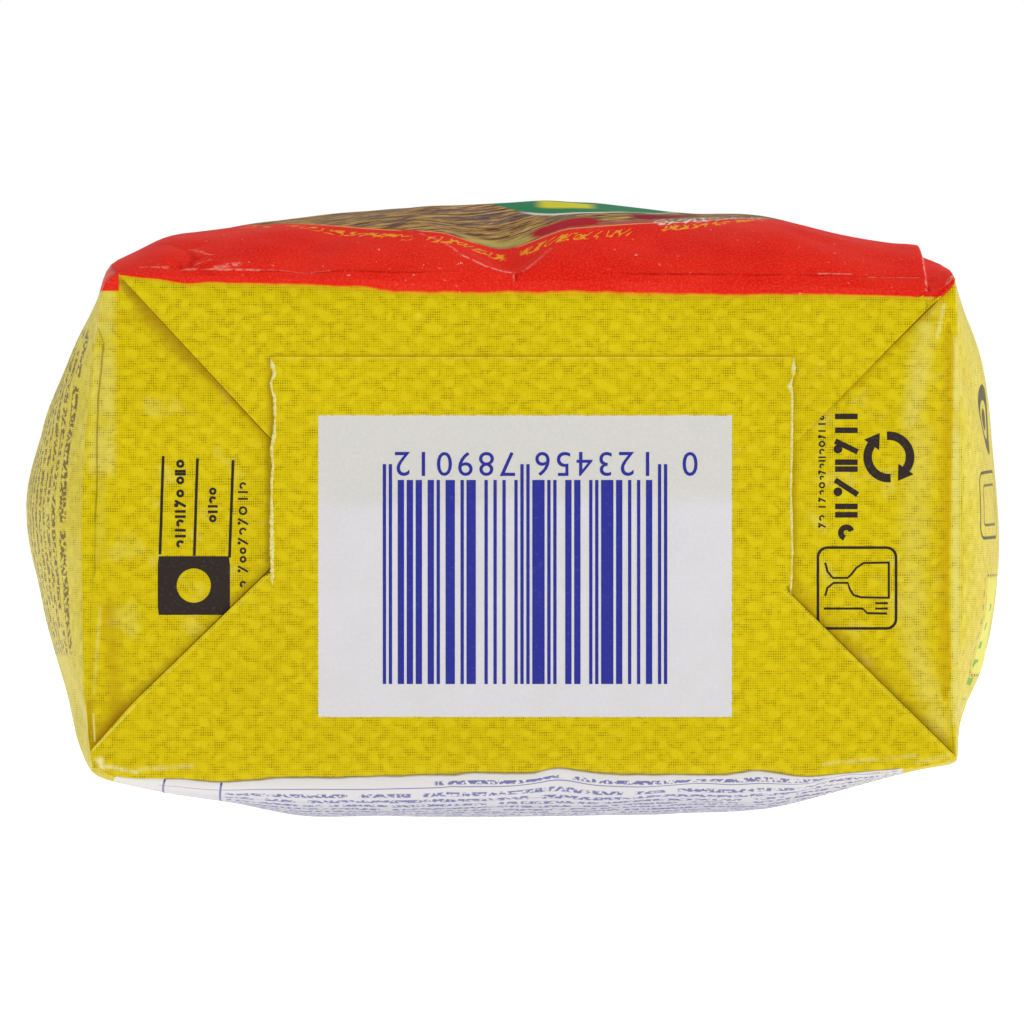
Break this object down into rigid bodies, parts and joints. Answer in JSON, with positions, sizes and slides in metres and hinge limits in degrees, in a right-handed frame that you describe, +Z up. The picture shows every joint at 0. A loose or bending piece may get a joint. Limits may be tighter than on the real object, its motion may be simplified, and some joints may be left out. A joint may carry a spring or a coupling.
{
  "type": "semolina flour bag",
  "caption": "Filled paper flour bag lying on its back: swollen four-panel tube with a flat folded base whose flap ends in a squared tongue, and a folded top.",
  "frame": {"origin": "centre of the bounding box at its lowest plane, where the back panel rests", "axes": "+Y along the bag from its folded base at -Y to its folded top, +Z up through the front panel, +X to the right seen from the base"},
  "size_m": [0.1116, 0.1918, 0.0711],
  "materials": {
    "printed_paper": "satin printed paper, yellow woven-look base and panels, red front, white back"
  },
  "bodies": {
    "root": {"bag": "printed_paper"}
  },
  "joints": []
}
